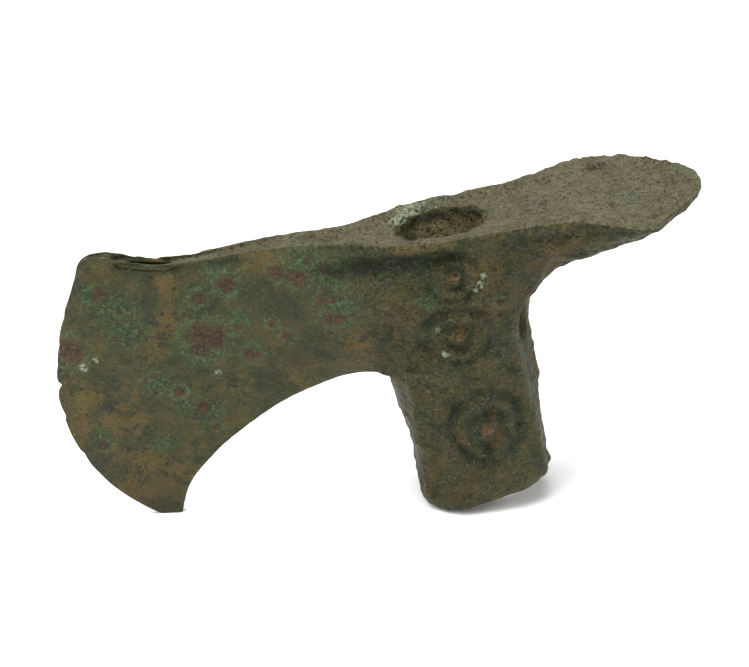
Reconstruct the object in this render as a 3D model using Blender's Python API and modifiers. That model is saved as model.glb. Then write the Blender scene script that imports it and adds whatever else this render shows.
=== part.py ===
"""Bronze Age axe-adze head: one bronze casting with an upright axe blade, a tubular socket with an
oval shaft hole, and a level adze blade. Units are metres, +Z is up, the axe points to -X.

The head is first drawn in the frame of its socket: the origin lies on the socket's axis at its lower
end, and z runs up that axis. It then leans over until the blade's lower tip and the socket's lower
end rest on the ground, which is how the loose head stands."""

import math

import bmesh
import bpy
import numpy as np

# Socket and shaft hole
SOCKET_LENGTH_X = 0.0428
SOCKET_WIDTH_Y = 0.0340
SOCKET_SQUARENESS = 2.7
SOCKET_TAPER = 0.035
SOCKET_FOOT = 0.0015
FOOT_ROUNDING = 0.0030
HOLE_LENGTH_X = 0.0262
HOLE_WIDTH_Y = 0.0166
HOLE_OFFSET_X = -0.0012
HOLE_DISH = 0.0016
HOLE_LIP = 0.0014

# Heights above the socket's foot, in the socket's own frame
HEAD_TOP = 0.1006
ARCH_TOP = 0.0562
ADZE_ROOT_UNDERSIDE = 0.0795
ARCH_FILLET = 0.0078
ARCH_FLARE = 0.0034
FOOT_RISE = 0.0048

# Axe arm, in side view
CUTTING_EDGE_REACH = 0.1251
CUTTING_EDGE_RADIUS = 0.0660
CUTTING_EDGE_MIDDLE_HEIGHT = 0.0620
CUTTING_EDGE_SHOULDER = 0.0022
BLADE_TOP_HEIGHT = 0.1044
BLADE_TIP_HEIGHT = 0.0162
BLADE_TIP_REACH = 0.1034
CUTTING_EDGE_THICKNESS = 0.0016

# Adze arm, in plan
ADZE_REACH = 0.0786
ADZE_WIDTH = 0.0484
ADZE_SKEW = 0.0012
ADZE_END_THICKNESS = 0.0022

# Ring-and-boss ornaments on the front: height, offset to +X, half width, half height
RINGS = {
    "lower": (0.0336, 0.0016, 0.0118, 0.0146),
    "middle": (0.0686, -0.0030, 0.0114, 0.0102),
    "upper": (0.0882, -0.0014, 0.0086, 0.0078),
}
RING_GROOVE_WIDTH = 0.0034
RING_GROOVE_DEPTH = 0.0011
BOSS_RADIUS = 0.0027
BOSS_HEIGHT = 0.0012
INNER_RING_SHARE = 0.48

# Casting marks on the adze side of the socket
SLIT_HEIGHT = 0.0580
SLIT_LENGTH = 0.0100
SLIT_WIDTH = 0.0014
SLIT_DEPTH = 0.0016
NODULE_HEIGHT = 0.0085
NODULE_RADIUS = 0.0023

LEAN = math.radians(8.8)
TOUCHING = 0.00002

# The head's sections are loops of points: down the front, under, up the back and over the top.
SIDE, ACROSS = 4, 4
FRONT_LOW, BACK_LOW, BACK_TOP = SIDE, SIDE + ACROSS, 2 * SIDE + ACROSS
LOOP = 2 * (SIDE + ACROSS)
AXE_COLUMNS, SOCKET_COLUMNS = 6, 4
ROW_SHARES = (0, 0.24, 0.50, 0.78, 1)

# Proportions of the axe arm from cutting edge to socket: where each section stands, as shares of the
# top line and of the lower edge, how far the two lines bend, and half thicknesses in metres.
AXE_TOP_SHARES = (0, 0.03, 0.13, 0.28, 0.48, 0.73, 1)
AXE_TOP_BEND = (0, 0.0040, 0.0051, 0.0008, -0.0008, -0.0009, -0.0032)
AXE_LOW_SHARES = (0, 0.035, 0.150, 0.325, 0.53, 0.76, 1)
AXE_LOW_CLIMB = (0, 0.11, 0.32, 0.59, 0.81, 0.965, 1)
AXE_RIDGE_HALF = (0.0000, 0.0014, 0.0024, 0.0028, 0.0032, 0.0045, 0.0068)
AXE_BELLY_HALF = (0.0000, 0.0011, 0.0020, 0.0032, 0.0049, 0.0080, 0.0122)
AXE_LOWER_HALF = (0.0000, 0.0009, 0.0013, 0.0019, 0.0028, 0.0042, 0.0066)

# Proportions over the socket and along the adze, whose end is rounded in plan.
SOCKET_TOP_HALF = (0.0118, 0.0139, 0.0146, 0.0163)
ADZE_SHARES = (0.26, 0.54, 0.81, 0.975, 1)
ADZE_WIDTH_SHARES = (0.79, 0.94, 1.0, 0.85, 0.79)
ADZE_LOWER_SHARES = (0.49, 0.60, 0.70, 0.78, 0.76)
ADZE_END_BOWS = (0, 0.0003, 0.0030, 0.0120, 0.0135)
ADZE_TOP_DROPS = (0.0001, 0.0020, 0.0042, 0.0040, 0.0038)
ADZE_THICKNESS_SHARES = (0.78, 0.50, 0.21, 0.02, 0)


def clear_scene():
    for thing in list(bpy.data.objects):
        bpy.data.objects.remove(thing, do_unlink=True)


def collection(name, rendered=True):
    made = bpy.data.collections.new(name)
    made.hide_render = not rendered
    bpy.context.scene.collection.children.link(made)
    return made


def bronze():
    """Old bronze under a dark olive-brown patina."""
    material = bpy.data.materials.new("patinated_bronze")
    material.use_nodes = True
    shader = material.node_tree.nodes["Principled BSDF"]
    shader.inputs["Base Color"].default_value = (0.085, 0.078, 0.042, 1.0)
    shader.inputs["Roughness"].default_value = 0.62
    shader.inputs["Metallic"].default_value = 0.35
    return material


def mix(a, b, share):
    return (1 - share) * np.asarray(a, float) + share * np.asarray(b, float)


def oval(angle, half_length, half_width, squareness=2.0):
    """A point of a superellipse: squareness 2 is an ellipse, and more squares its sides."""
    c, s = math.cos(angle), math.sin(angle)
    power = 2 / squareness
    return np.array(
        (
            half_length * math.copysign(abs(c) ** power, c),
            half_width * math.copysign(abs(s) ** power, s),
        )
    )


def socket_depth(x):
    """Half the socket's width in Y at a distance x from its axis."""
    share = abs(x) / (SOCKET_LENGTH_X / 2)
    return SOCKET_WIDTH_Y / 2 * (1 - share**SOCKET_SQUARENESS) ** (1 / SOCKET_SQUARENESS)


def wall_depth(x, z):
    """The same at a height z, since the head draws in towards its top."""
    root = SOCKET_LENGTH_X / 2 + ARCH_FILLET
    low_z = mix(ARCH_TOP, ADZE_ROOT_UNDERSIDE, (x + root) / (2 * root))
    top_half = np.interp(x, (-root / 2, 0.0, root / 2), SOCKET_TOP_HALF[:3])
    down = 1.7 * (HEAD_TOP - z) / (HEAD_TOP - low_z)
    return mix(top_half, socket_depth(x), min(1.0, max(0.0, down)))


def cutting_edge(share):
    """Side view of the crescent edge as (x, z): an arc from its top corner, run in to the lower tip."""
    centre_x = CUTTING_EDGE_RADIUS - CUTTING_EDGE_REACH
    top = math.asin((BLADE_TOP_HEIGHT - CUTTING_EDGE_MIDDLE_HEIGHT) / CUTTING_EDGE_RADIUS)
    low = math.asin((BLADE_TIP_HEIGHT - CUTTING_EDGE_MIDDLE_HEIGHT) / CUTTING_EDGE_RADIUS)
    angle = mix(top, low, share)
    x = centre_x - CUTTING_EDGE_RADIUS * math.cos(angle)
    run_in = -BLADE_TIP_REACH - (centre_x - CUTTING_EDGE_RADIUS * math.cos(low))
    z = CUTTING_EDGE_MIDDLE_HEIGHT + CUTTING_EDGE_RADIUS * math.sin(angle)
    run_in = run_in * max(0.0, 4 * share - 3) - CUTTING_EDGE_SHOULDER * max(0.0, 1 - 4 * share)
    return np.array((x + run_in, z))


def loop_of(side_points, top_xz, low_xz, bow=None):
    """One section: side_points are (x, half width, z) down the front, mirrored up the back. bow is
    how far the section's middle stands out along X past its two sides."""
    bow = bow or (lambda y, half: 0.0)
    down = [(x, -y, z) for x, y, z in side_points]
    up = [(x, -y, z) for x, y, z in reversed(down)]
    half_low, half_top = side_points[-1][1], side_points[0][1]
    under, over = [], []
    for k in range(1, ACROSS):
        y = half_low * (2 * k / ACROSS - 1)
        under.append((low_xz[0] + bow(y, half_low), y, low_xz[1]))
        y = half_top * (2 * k / ACROSS - 1)
        over.append((top_xz[0] + bow(y, half_top), -y, top_xz[1]))
    return [np.array(p, float) for p in down + under + up + over]


def axe_sections():
    """Sections of the axe arm, whose side points fill the outline between its four edges (a Coons
    patch): cutting edge, top line, lower edge and the line where the socket begins."""
    root = -SOCKET_LENGTH_X / 2 - ARCH_FILLET
    corner = cutting_edge(0)
    top = [
        (corner[0] + (root - corner[0]) * share, BLADE_TOP_HEIGHT + bend)
        for share, bend in zip(AXE_TOP_SHARES, AXE_TOP_BEND)
    ]
    low = [
        (-BLADE_TIP_REACH + (root + BLADE_TIP_REACH) * share, mix(BLADE_TIP_HEIGHT, ARCH_TOP, climb))
        for share, climb in zip(AXE_LOW_SHARES, AXE_LOW_CLIMB)
    ]
    sections = []
    for i, s in enumerate(AXE_TOP_SHARES):
        points = []
        for t in ROW_SHARES:
            patch = (
                mix(cutting_edge(t), mix(top[-1], low[-1], t), s)
                + mix(top[i], low[i], t)
                - mix(mix(top[0], low[0], t), mix(top[-1], low[-1], t), s)
            )
            straight = mix(AXE_RIDGE_HALF[i], AXE_LOWER_HALF[i], t)
            half = mix(straight, AXE_BELLY_HALF[i], math.sin(math.pi * t))
            half = max(half, CUTTING_EDGE_THICKNESS / 2)
            points.append((patch[0], half, patch[1]))
        sections.append(loop_of(points, top[i], low[i]))
    return sections


def socket_sections():
    """Sections over the socket, whose sides run on down into the socket's front and back."""
    sections = []
    root = SOCKET_LENGTH_X / 2 + ARCH_FILLET
    for x in (-root / 2, 0.0, root / 2):
        low_z = mix(ARCH_TOP, ADZE_ROOT_UNDERSIDE, (x + root) / (2 * root))
        points = []
        for t in ROW_SHARES:
            z = mix(HEAD_TOP, low_z, t)
            points.append((x, wall_depth(x, z), z))
        sections.append(loop_of(points, (x, HEAD_TOP), (x, low_z)))
    return sections


def adze_sections():
    """Sections of the adze arm: a wide top plate over a keel that thins to the end, bowed in plan."""
    root = SOCKET_LENGTH_X / 2 + ARCH_FILLET
    reach = ADZE_REACH - ADZE_END_BOWS[-1] - root
    root_depth = HEAD_TOP - ADZE_ROOT_UNDERSIDE
    root_values = (0, SOCKET_TOP_HALF[-1], 0.0090, 0.0, 0.0, root_depth)
    stations = [root_values] + [
        (
            share,
            ADZE_WIDTH / 2 * wide,
            ADZE_WIDTH / 2 * low,
            bow,
            drop,
            mix(ADZE_END_THICKNESS, root_depth, thick),
        )
        for share, wide, low, bow, drop, thick in zip(
            ADZE_SHARES,
            ADZE_WIDTH_SHARES,
            ADZE_LOWER_SHARES,
            ADZE_END_BOWS,
            ADZE_TOP_DROPS,
            ADZE_THICKNESS_SHARES,
        )
    ]
    sections = []
    for share, wide, low, bow, drop, thick in stations:
        x = root + reach * share
        z = HEAD_TOP - drop
        points = []
        for t in ROW_SHARES:
            points.append((x, wide - (wide - low) * t * t, z - thick * t))
        curve = lambda y, half, bow=bow: bow * (1 - (y / half) ** 2)
        aside = np.array((0, ADZE_SKEW * share, 0))
        sections.append([p + aside for p in loop_of(points, (x, z), (x, z - thick), curve)])
    return sections


def socket_rings():
    """Rings of the socket's wall from under the head down to its foot, front left corner first."""
    rings = []
    count = 2 * (SOCKET_COLUMNS + ACROSS)
    left, right = ARCH_TOP - ARCH_FILLET, ADZE_ROOT_UNDERSIDE - ARCH_FILLET
    levels = [(mix(left, SOCKET_FOOT, u), mix(right, SOCKET_FOOT, u)) for u in (0, 0.27, 0.54, 0.79)]
    levels.append((SOCKET_FOOT + FOOT_ROUNDING, SOCKET_FOOT + FOOT_ROUNDING))
    levels.append((SOCKET_FOOT, SOCKET_FOOT))
    for number, (low_left, low_right) in enumerate(levels):
        inset = FOOT_ROUNDING if number == len(levels) - 1 else 0.0
        ring = []
        for j in range(count):
            angle = math.radians(-135) + 2 * math.pi * j / count
            x, y = oval(
                angle, SOCKET_LENGTH_X / 2 - inset, SOCKET_WIDTH_Y / 2 - inset, SOCKET_SQUARENESS
            )
            share = 0.5 + x / SOCKET_LENGTH_X
            z = mix(low_left, low_right, share)
            x, y = np.array((x, y)) * (1 - SOCKET_TAPER * max(0.0, 1 - z / ARCH_TOP))
            rise = FOOT_RISE * share * (1 - z / ARCH_TOP)
            flare = ARCH_FLARE * max(0.0, 1 - number / 2) if x < 0 else 0.0
            ring.append(np.array((x - flare, y, z + rise)))
        rings.append(ring)
    return rings


def hole_rings():
    """Rings of the shaft hole from its lip on top down to the foot, front left corner first."""
    rings = []
    mouth = HEAD_TOP - HOLE_DISH
    wall = [mix(mouth, SOCKET_FOOT, share) for share in (0.06, 0.5, 0.94)]
    levels = [mouth] + wall + [SOCKET_FOOT]
    for number, z in enumerate(levels):
        lip = HOLE_LIP if number in (0, len(levels) - 1) else 0.0
        ring = []
        for j in range(8):
            angle = math.radians(-135 + 45 * j)
            x, y = oval(angle, HOLE_LENGTH_X / 2 + lip, HOLE_WIDTH_Y / 2 + lip)
            rise = FOOT_RISE * (0.5 + x / SOCKET_LENGTH_X) * (1 - z / HEAD_TOP)
            ring.append(np.array((x + HOLE_OFFSET_X, y, z + rise)))
        rings.append(ring)
    return rings


def head_cage():
    """The coarse cage of the whole casting: sections joined into arms, the socket's wall hung from
    the loop under the head, and the shaft hole's wall from the loop on top to the foot."""
    cage = bmesh.new()
    sections = axe_sections() + socket_sections() + adze_sections()
    first = AXE_COLUMNS
    last = first + SOCKET_COLUMNS
    hole_path = [(first + 1, 15), (first + 2, 15), (first + 3, 15), (first + 3, 14)]
    hole_path += [(first + 3, 13), (first + 2, 13), (first + 1, 13), (first + 1, 14)]
    hole = hole_rings()
    for spot, place in zip(hole_path, hole[0]):
        sections[spot[0]][spot[1]] = place
    inside = {
        (i, k) for i in range(first + 1, last) for k in range(FRONT_LOW + 1, BACK_LOW)
    } | {(first + 2, 14)}
    grid = [
        [None if (i, k) in inside else cage.verts.new(p) for k, p in enumerate(section)]
        for i, section in enumerate(sections)
    ]
    for i in range(len(grid) - 1):
        for k in range(LOOP):
            n = (k + 1) % LOOP
            corners = [grid[i][k], grid[i][n], grid[i + 1][n], grid[i + 1][k]]
            under_socket = first <= i < last and FRONT_LOW <= k < BACK_LOW
            over_hole = first + 1 <= i < first + 3 and 13 <= k < 15
            if not under_socket and not over_hole:
                cage.faces.new(corners)
    edges = cutting_edge_groups(close_end(cage, grid[0]), grid[1])
    edges += adze_edge_groups(close_end(cage, grid[-1]), grid[-2])

    socket_path = [(i, FRONT_LOW) for i in range(first, last)]
    socket_path += [(last, k) for k in range(FRONT_LOW, BACK_LOW)]
    socket_path += [(i, BACK_LOW) for i in range(last, first, -1)]
    socket_path += [(first, k) for k in range(BACK_LOW, FRONT_LOW, -1)]
    outer = [grid[i][k] for i, k in socket_path]
    for ring in socket_rings():
        outer = join_ring(cage, outer, ring)
    inner = [grid[i][k] for i, k in hole_path]
    for ring in hole[1:]:
        inner = join_ring(cage, inner, ring)
    for j in range(8):
        cage.faces.new(
            [outer[2 * j], outer[2 * j + 1], outer[(2 * j + 2) % 16], inner[(j + 1) % 8], inner[j]]
        )
    bmesh.ops.recalc_face_normals(cage, faces=cage.faces)
    return cage, edges


def close_end(cage, loop):
    """Fills an end section with a grid of faces, straight across between its two sides."""
    rows = [[loop[0]] + [loop[LOOP - k] for k in range(1, ACROSS)] + [loop[BACK_TOP]]]
    for row in range(1, SIDE):
        front, back = loop[row], loop[BACK_TOP - row]
        middle = []
        for k in range(1, ACROSS):
            place = mix(front.co, back.co, k / ACROSS)
            over, under = loop[LOOP - k].co, loop[FRONT_LOW + k].co
            bow = mix(over.x - loop[0].co.x, under.x - loop[FRONT_LOW].co.x, row / SIDE)
            middle.append(cage.verts.new(place + np.array((bow, 0, 0))))
        rows.append([front] + middle + [back])
    rows.append([loop[k] for k in range(FRONT_LOW, BACK_LOW + 1)])
    for upper, lower in zip(rows, rows[1:]):
        for k in range(ACROSS):
            cage.faces.new([upper[k], upper[k + 1], lower[k + 1], lower[k]])
    return rows


def join_ring(cage, upper, places):
    lower = [cage.verts.new(p) for p in places]
    count = len(lower)
    for j in range(count):
        n = (j + 1) % count
        cage.faces.new([upper[j], upper[n], lower[n], lower[j]])
    return lower


def cutting_edge_groups(rows, hold):
    """Points across the upright cutting edge that move together, row by row: those of the end and of
    the section just behind it. Y is the thin direction."""
    groups = []
    for number, row in enumerate(rows):
        behind = [hold[number], hold[BACK_TOP - number]]
        if number == 0:
            behind += [hold[LOOP - k] for k in range(1, ACROSS)]
        if number == SIDE:
            behind += [hold[FRONT_LOW + k] for k in range(1, ACROSS)]
        groups.append((row, behind, (1, 0, 1)))
    return groups


def adze_edge_groups(rows, hold):
    """The same for the level adze edge, from its front to its back. Z is the thin direction."""
    groups = []
    for k in range(ACROSS + 1):
        behind = [hold[(LOOP - k) % LOOP], hold[FRONT_LOW + k]]
        if k == 0:
            behind = [hold[n] for n in range(FRONT_LOW + 1)]
        if k == ACROSS:
            behind = [hold[n] for n in range(BACK_LOW, BACK_TOP + 1)]
        groups.append(([row[k] for row in rows], behind, (1, 1, 0)))
    return groups


def settle(cage, edges, rounds=4):
    """Moves the cage's points out until the smooth surface made from it runs through the places that
    the sizes name. A point of that surface is a weighted mean of the points around it. Across a thin
    edge the points move together, so that the edge stays one rounded nose."""
    cage.verts.ensure_lookup_table()
    cage.verts.index_update()
    cage.faces.index_update()
    wanted = np.array([v.co for v in cage.verts])
    points = wanted.copy()
    faces = [[v.index for v in f.verts] for f in cage.faces]
    around = [
        (
            [f.index for f in v.link_faces],
            [e.other_vert(v).index for e in v.link_edges],
            [[f.index for f in e.link_faces] for e in v.link_edges],
        )
        for v in cage.verts
    ]
    groups = [
        ([v.index for v in end], [v.index for v in end + behind], np.array(freedom))
        for end, behind, freedom in edges
    ]
    for _ in range(rounds):
        middles = np.array([points[f].mean(0) for f in faces])
        smooth = np.empty_like(points)
        for i, (near_faces, near_points, edge_faces) in enumerate(around):
            n = len(near_points)
            spokes = [
                (points[i] + points[p] + middles[f].sum(0)) / 4
                for p, f in zip(near_points, edge_faces)
            ]
            mean_face = middles[near_faces].mean(0)
            mean_edge = np.mean([(points[i] + points[p]) / 2 for p in near_points], axis=0)
            hub = (mean_face + 2 * mean_edge + (n - 3) * points[i]) / n
            outer = 4 * np.sum(spokes, axis=0) + middles[near_faces].sum(0)
            smooth[i] = (n * n * hub + outer) / (n * (n + 5))
        moved = points + (wanted - smooth)
        for end, together, freedom in groups:
            shift = (wanted[end] - smooth[end]).mean(0) * freedom
            moved[together] = points[together] + shift
        points = moved
    for vert, place in zip(cage.verts, points):
        vert.co = place


def finish_tool(name, tools, carrier):
    """Names the object just made, moves it to the tools' collection and hangs it on its carrier."""
    tool = bpy.context.object
    tool.name = name
    for owner in list(tool.users_collection):
        owner.objects.unlink(tool)
    tools.objects.link(tool)
    tool.parent = carrier
    tool.hide_render = True
    tool.display_type = "WIRE"
    return tool


def shape(target, tool, operation):
    modifier = target.modifiers.new(tool.name, "BOOLEAN")
    modifier.operation = operation
    modifier.solver = "EXACT"
    modifier.object = tool


def ring_tool(name, centre, oval_size, side, tools, carrier):
    """An oval torus bent to the socket's wall, so that its groove has an even depth all round."""
    half_width, half_height = oval_size
    bpy.ops.mesh.primitive_torus_add(
        major_segments=24,
        minor_segments=8,
        major_radius=half_width,
        minor_radius=RING_GROOVE_WIDTH / 2,
        rotation=(math.pi / 2, 0, 0),
    )
    bpy.ops.object.transform_apply(location=False, rotation=True, scale=False)
    tool = finish_tool(name, tools, carrier)
    offset, height = centre
    proud = RING_GROOVE_WIDTH / 2 - RING_GROOVE_DEPTH
    for vert in tool.data.vertices:
        x, y, z = vert.co
        z *= half_height / half_width
        to_ring = min(1.0, half_width / math.hypot(vert.co.x, vert.co.z))
        wall = wall_depth(offset + to_ring * x, height + to_ring * z) + proud
        vert.co = (offset + x, y + side * wall, height + z)
    return tool


def boss_tool(name, centre, tools, carrier):
    offset, height = centre
    bpy.ops.mesh.primitive_uv_sphere_add(segments=14, ring_count=8, radius=BOSS_RADIUS)
    tool = finish_tool(name, tools, carrier)
    for vert in tool.data.vertices:
        x, y, z = vert.co
        y *= BOSS_HEIGHT / BOSS_RADIUS
        vert.co = (offset + x, y - wall_depth(offset, height), height + z)
    return tool


def ornament(head, tools, carrier):
    """Rings and bosses in relief on the front, and two plain rings on the back."""
    for name, (height, offset, half_width, half_height) in RINGS.items():
        centre = (offset, height)
        for part, share in (("_outer_ring", 1.0), ("_inner_ring", INNER_RING_SHARE)):
            oval_size = (half_width * share, half_height * share)
            groove = ring_tool(name + part, centre, oval_size, -1, tools, carrier)
            shape(head, groove, "DIFFERENCE")
        shape(head, boss_tool(name + "_boss", centre, tools, carrier), "UNION")
    for name in ("lower", "middle"):
        height, offset, half_width, half_height = RINGS[name]
        centre = (offset, height)
        groove = ring_tool(
            name + "_back_ring", centre, (half_width, half_height), 1, tools, carrier
        )
        shape(head, groove, "DIFFERENCE")


def casting_marks(head, tools, carrier):
    """A shrinkage slit high on the socket's +X side, and a small nodule of metal near its foot."""
    x, y = oval(math.radians(-28), SOCKET_LENGTH_X / 2, SOCKET_WIDTH_Y / 2, SOCKET_SQUARENESS)
    bpy.ops.mesh.primitive_cube_add(size=1, location=(x, y, SLIT_HEIGHT))
    slit = bpy.context.object
    slit.scale = (2 * SLIT_DEPTH, SLIT_WIDTH, SLIT_LENGTH)
    bpy.ops.object.transform_apply(location=False, rotation=False, scale=True)
    shape(head, finish_tool("casting_slit", tools, carrier), "DIFFERENCE")
    bpy.ops.mesh.primitive_ico_sphere_add(subdivisions=2, radius=NODULE_RADIUS)
    nodule = finish_tool("nodule", tools, carrier)
    nodule.location = (SOCKET_LENGTH_X / 2 - NODULE_RADIUS / 3, -NODULE_RADIUS, NODULE_HEIGHT)
    shape(head, nodule, "UNION")


def wear_flat(head, tools):
    """Cuts off what reaches below the ground, so that the foot and the tip rest on small flats."""
    bpy.ops.mesh.primitive_cube_add(size=1)
    ground = bpy.context.object
    ground.scale = (0.4, 0.2, 0.05)
    ground.location = (0, 0, -0.025)
    bpy.ops.object.transform_apply(location=True, rotation=False, scale=True)
    shape(head, finish_tool("ground", tools, None), "DIFFERENCE")


def centre_over_origin(head, carrier):
    """Slides the head along X and Y until its outline is centred on the origin."""
    bpy.context.view_layer.update()
    drawn = head.evaluated_get(bpy.context.evaluated_depsgraph_get())
    places = [drawn.matrix_world @ vert.co for vert in drawn.data.vertices]
    for axis in (0, 1):
        reach = [place[axis] for place in places]
        carrier.location[axis] -= (min(reach) + max(reach)) / 2


def main():
    clear_scene()
    parts = collection("bronze_axe_adze")
    tools = collection("tools", rendered=False)
    carrier = bpy.data.objects.new("stance", None)
    carrier.rotation_euler = (0, -LEAN, 0)
    parts.objects.link(carrier)

    cage, edges = head_cage()
    settle(cage, edges)
    mesh = bpy.data.meshes.new("axe_adze_head")
    cage.to_mesh(mesh)
    cage.free()
    mesh.shade_smooth()
    head = bpy.data.objects.new("axe_adze_head", mesh)
    head.data.materials.append(bronze())
    head.parent = carrier
    parts.objects.link(head)
    smooth = head.modifiers.new("smooth_form", "SUBSURF")
    smooth.levels = smooth.render_levels = 2
    lighten = head.modifiers.new("fewer_faces_where_flat", "DECIMATE")
    lighten.ratio = 0.5
    centre_over_origin(head, carrier)
    ornament(head, tools, carrier)
    casting_marks(head, tools, carrier)
    wear_flat(head, tools)
    weld = head.modifiers.new("join_touching_points", "WELD")
    weld.merge_threshold = TOUCHING


main()
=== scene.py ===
"""The looks of a Bronze Age axe-adze head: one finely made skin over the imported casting, with its
corroded relief and patina, and a plain studio. Lengths are metres.

The skin is worked out in the socket's own frame, as the casting is: the origin at the socket's
foot, z up its axis, the axe towards -x and the ornamented front towards -y. It then leans onto the
blade's lower tip."""

import math

import bmesh
import bpy
import numpy as np
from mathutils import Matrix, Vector


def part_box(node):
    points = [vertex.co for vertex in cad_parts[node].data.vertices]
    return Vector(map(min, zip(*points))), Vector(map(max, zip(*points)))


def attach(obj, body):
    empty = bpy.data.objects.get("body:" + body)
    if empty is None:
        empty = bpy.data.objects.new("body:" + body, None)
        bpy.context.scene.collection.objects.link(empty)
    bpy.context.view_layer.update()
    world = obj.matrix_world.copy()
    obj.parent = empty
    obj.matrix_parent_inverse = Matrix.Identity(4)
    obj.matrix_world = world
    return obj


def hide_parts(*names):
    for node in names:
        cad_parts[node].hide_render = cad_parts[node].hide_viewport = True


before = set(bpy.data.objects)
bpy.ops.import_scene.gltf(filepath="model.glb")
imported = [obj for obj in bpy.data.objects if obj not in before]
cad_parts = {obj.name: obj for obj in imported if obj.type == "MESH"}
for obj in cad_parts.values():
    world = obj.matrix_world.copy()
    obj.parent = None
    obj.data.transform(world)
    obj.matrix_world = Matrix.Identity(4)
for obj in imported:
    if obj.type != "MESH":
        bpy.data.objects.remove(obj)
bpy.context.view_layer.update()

NODE = "axe_adze_head"
LEAN = math.radians(8.8)

# Socket and shaft hole
SOCKET_HALF_LENGTH = 0.0214
SOCKET_HALF_WIDTH = 0.0170
SOCKET_SQUARENESS = 2.7
SOCKET_TAPER = 0.035
SOCKET_FOOT = 0.0015
FOOT_ROUNDING = 0.0030
FOOT_RISE = 0.0048
HOLE_HALF_LENGTH = 0.0131
HOLE_HALF_WIDTH = 0.0083
HOLE_OFFSET = -0.0012
HOLE_DISH = 0.0016
HOLE_LIP = 0.0014

# Heights above the socket's foot
HEAD_TOP = 0.1006
ARCH_TOP = 0.0562
ADZE_ROOT_UNDERSIDE = 0.0795
ARCH_FILLET = 0.0078
ARCH_FLARE = 0.0034
ROOT = SOCKET_HALF_LENGTH + ARCH_FILLET

# Axe arm, from the cutting edge to the socket
EDGE_REACH = 0.1251
EDGE_RADIUS = 0.0660
EDGE_MIDDLE = 0.0620
EDGE_SHOULDER = 0.0022
EDGE_THICKNESS = 0.0016
BLADE_TOP = 0.1044
TIP_HEIGHT = 0.0162
TIP_REACH = 0.1034
AXE_TOP_SHARES = np.array((0, 0.03, 0.13, 0.28, 0.48, 0.73, 1))
AXE_TOP_BEND = np.array((0, 4.0, 5.1, 0.8, -0.8, -0.9, -3.2)) / 1000
AXE_LOW_SHARES = np.array((0, 0.035, 0.150, 0.325, 0.53, 0.76, 1))
AXE_LOW_CLIMB = np.array((0, 0.11, 0.32, 0.59, 0.81, 0.965, 1))
AXE_RIDGE_HALF = np.array((0, 1.4, 2.4, 2.8, 3.2, 4.5, 6.8)) / 1000
AXE_BELLY_HALF = np.array((0, 1.1, 2.0, 3.2, 4.9, 8.0, 12.2)) / 1000
AXE_LOWER_HALF = np.array((0, 0.9, 1.3, 1.9, 2.8, 4.2, 6.6)) / 1000

# Over the socket and along the adze
SOCKET_TOP_HALF = np.array((11.8, 13.9, 14.6, 16.3)) / 1000
ADZE_REACH = 0.0786
ADZE_HALF_WIDTH = 0.0242
ADZE_SKEW = 0.0012
ADZE_END_THICKNESS = 0.0022
ADZE_SHARES = np.array((0, 0.26, 0.54, 0.81, 0.975, 1))
ADZE_WIDTH_SHARES = np.array((SOCKET_TOP_HALF[-1] / ADZE_HALF_WIDTH, 0.79, 0.94, 1.0, 0.85, 0.79))
ADZE_LOWER_SHARES = np.array((0.0090 / ADZE_HALF_WIDTH, 0.49, 0.60, 0.70, 0.78, 0.76))
ADZE_END_BOWS = np.array((0, 0, 0.3, 3.0, 12.0, 13.5)) / 1000
ADZE_TOP_DROPS = np.array((0, 0.1, 2.0, 4.2, 4.0, 3.8)) / 1000
ADZE_THICKNESS_SHARES = np.array((1, 0.78, 0.50, 0.21, 0.02, 0))

# A section is a loop of 16 points: 5 down the front, 3 under, 5 up the back and 3 over the top.
ACROSS = 4
ROWS = np.array((0, 0.24, 0.50, 0.78, 1))
AXE_COLUMNS = 6
SOCKET_COLUMNS = 4

# Ring-and-boss ornaments: offset along x, height, half width and half height
RINGS = np.array(((1.6, 33.6, 11.8, 14.6), (-3.0, 68.6, 11.4, 10.2), (-1.4, 88.2, 8.6, 7.8))) / 1000
# Height in millimetres over the share of an ornament's half size, from boss to outer groove
RING_PROFILE = np.array(
    (
        (0.00, 1.15),
        (0.13, 1.00),
        (0.23, 0.25),
        (0.33, -0.55),
        (0.47, -0.80),
        (0.58, -0.10),
        (0.68, 0.40),
        (0.78, 0.35),
        (0.88, -0.30),
        (1.00, -1.05),
        (1.10, -0.70),
        (1.25, -0.05),
        (1.40, 0.00),
    )
)

# Heights and depths of the skin's own relief
RINGS_WORN_TO = 0.9
BACK_GROOVE_DEPTH = 0.0009
BACK_GROOVE_WIDTH = 0.0015
MOUTH_GROOVE_DEPTH = 0.0018
MOUTH_BEAD_HEIGHT = 0.0009
LOBE_HEIGHT = 0.0009
LOBE_FOLD_DEPTH = 0.0013
RIDGE_FOLD_DEPTH = 0.0005
ARRIS_HEIGHT = 0.0010
SLIT_DEPTH = 0.0016
RIB_HEIGHT = 0.0007
NODULE_HEIGHT = 0.0015
BROAD_LUMPS = 0.00028
FINE_LUMPS = 0.00020
GRAIN_LUMPS = 0.00014
RIM_LUMPS = 0.00060
HOLE_LUMPS = 0.00045
HOLE_GRAIN = 0.00035
POCK_DEPTH = 0.0008
EDGE_NIBBLES = 0.00022
ADZE_NIBBLES = 0.0004
ADZE_RAGGED = 0.0005
BUMP_HEIGHT = 0.0014


def mix(a, b, share):
    """a where share is 0, b where it is 1."""
    return a + (b - a) * share


def smooth(value, low, high):
    """0 below low, 1 above high, with an S-shaped rise between them."""
    t = np.clip((value - low) / (high - low), 0, 1)
    return t * t * (3 - 2 * t)


# Form of the casting: a coarse cage, as arrays of points


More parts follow.
